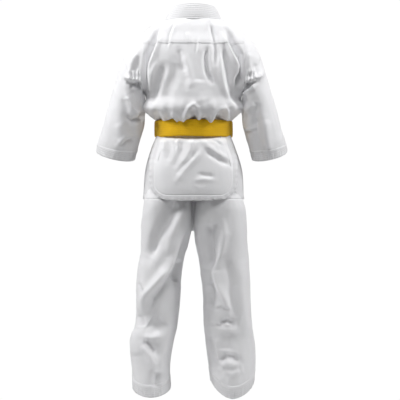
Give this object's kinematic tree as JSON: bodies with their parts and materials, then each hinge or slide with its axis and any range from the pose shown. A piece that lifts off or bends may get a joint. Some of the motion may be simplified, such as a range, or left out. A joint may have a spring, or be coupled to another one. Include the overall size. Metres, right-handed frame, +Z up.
{
  "type": "martial arts uniform",
  "caption": "White cross-over jacket with a quilted collar and short sleeves, tied by a wide yellow belt, over loose straight trousers with an elastic waist.",
  "frame": {"origin": "middle of the neck opening, level with the foot of the collar band at the nape", "axes": "+Z up, +Y towards the wearer's front, +X towards the wearer's right"},
  "size_m": [0.4578, 0.2144, 0.9487],
  "materials": {
    "white_cotton": "plain woven cotton, matt",
    "quilted_collar": "folded cotton band with rows of stitching",
    "yellow_belt": "ribbed cotton belt, slight sheen",
    "elastic": "knitted elastic"
  },
  "bodies": {
    "jacket": {"back_yoke": "white_cotton", "back_panel": "white_cotton", "right_front": "white_cotton", "left_front": "white_cotton", "right_lapel": "quilted_collar", "left_lapel": "quilted_collar", "collar_band": "quilted_collar", "belt_inner_wrap": "yellow_belt", "belt_outer_wrap": "yellow_belt", "belt_knot": "yellow_belt"},
    "back_tail": {"back_tail": "white_cotton"},
    "front_skirt": {"right_front_skirt": "white_cotton", "left_front_skirt": "white_cotton", "right_lapel_tail": "quilted_collar", "left_lapel_tail": "quilted_collar"},
    "belt_end_right": {"belt_end_right": "yellow_belt"},
    "belt_end_left": {"belt_end_left": "yellow_belt"},
    "trousers": {"waistband": "white_cotton", "waist_elastic": "elastic", "waistband_facing": "white_cotton", "trouser_seat": "white_cotton", "trouser_front": "white_cotton", "crotch_strip": "white_cotton"},
    "right_upper_sleeve": {"right_sleeve_upper": "white_cotton", "right_underarm_gusset": "white_cotton"},
    "right_forearm_sleeve": {"right_sleeve_lower": "white_cotton", "right_sleeve_hem": "white_cotton"},
    "right_thigh": {"right_thigh": "white_cotton"},
    "right_lower_leg": {"right_shin": "white_cotton", "right_leg_hem": "white_cotton"},
    "left_upper_sleeve": {"left_sleeve_upper": "white_cotton", "left_underarm_gusset": "white_cotton"},
    "left_forearm_sleeve": {"left_sleeve_lower": "white_cotton", "left_sleeve_hem": "white_cotton"},
    "left_thigh": {"left_thigh": "white_cotton"},
    "left_lower_leg": {"left_shin": "white_cotton", "left_leg_hem": "white_cotton"}
  },
  "joints": [
    {"name": "right_shoulder_swing", "type": "hinge", "parent": "jacket", "child": "right_upper_sleeve", "pos_m": [0.1222, 0.004, -0.103], "axis": [1, 0, 0], "range_deg": [-30, 90]},
    {"name": "right_elbow_bend", "type": "hinge", "parent": "right_upper_sleeve", "child": "right_forearm_sleeve", "pos_m": [0.165, 0, -0.233], "axis": [0.9781, 0, 0.2079], "range_deg": [0, 60]},
    {"name": "left_shoulder_swing", "type": "hinge", "parent": "jacket", "child": "left_upper_sleeve", "pos_m": [-0.1222, 0.004, -0.103], "axis": [1, 0, 0], "range_deg": [-30, 90]},
    {"name": "left_elbow_bend", "type": "hinge", "parent": "left_upper_sleeve", "child": "left_forearm_sleeve", "pos_m": [-0.165, 0, -0.233], "axis": [0.9781, 0, -0.2079], "range_deg": [0, 60]},
    {"name": "back_tail_lift", "type": "hinge", "parent": "jacket", "child": "back_tail", "pos_m": [0, -0.08, -0.285], "axis": [-1, 0, 0], "range_deg": [0, 25]},
    {"name": "front_skirt_lift", "type": "hinge", "parent": "jacket", "child": "front_skirt", "pos_m": [0, 0.109, -0.286], "axis": [1, 0, 0], "range_deg": [0, 15]},
    {"name": "belt_end_right_swing", "type": "hinge", "parent": "front_skirt", "child": "belt_end_right", "pos_m": [0.008, 0.112, -0.283], "axis": [0, -1, 0], "range_deg": [0, 35]},
    {"name": "belt_end_left_swing", "type": "hinge", "parent": "front_skirt", "child": "belt_end_left", "pos_m": [-0.008, 0.116, -0.283], "axis": [0, 1, 0], "range_deg": [0, 35]},
    {"name": "trousers_pull_down", "type": "slide", "parent": "jacket", "child": "trousers", "axis": [0, 0, -1], "range_m": [0, 0.26]},
    {"name": "right_hip_swing", "type": "hinge", "parent": "trousers", "child": "right_thigh", "pos_m": [0, 0, -0.43], "axis": [1, 0, 0], "range_deg": [-15, 25]},
    {"name": "right_knee_bend", "type": "hinge", "parent": "right_thigh", "child": "right_lower_leg", "pos_m": [0.082, 0, -0.65], "axis": [-1, 0, 0], "range_deg": [0, 60]},
    {"name": "left_hip_swing", "type": "hinge", "parent": "trousers", "child": "left_thigh", "pos_m": [0, 0, -0.43], "axis": [1, 0, 0], "range_deg": [-15, 25]},
    {"name": "left_knee_bend", "type": "hinge", "parent": "left_thigh", "child": "left_lower_leg", "pos_m": [-0.082, 0, -0.65], "axis": [-1, 0, 0], "range_deg": [0, 60]}
  ]
}
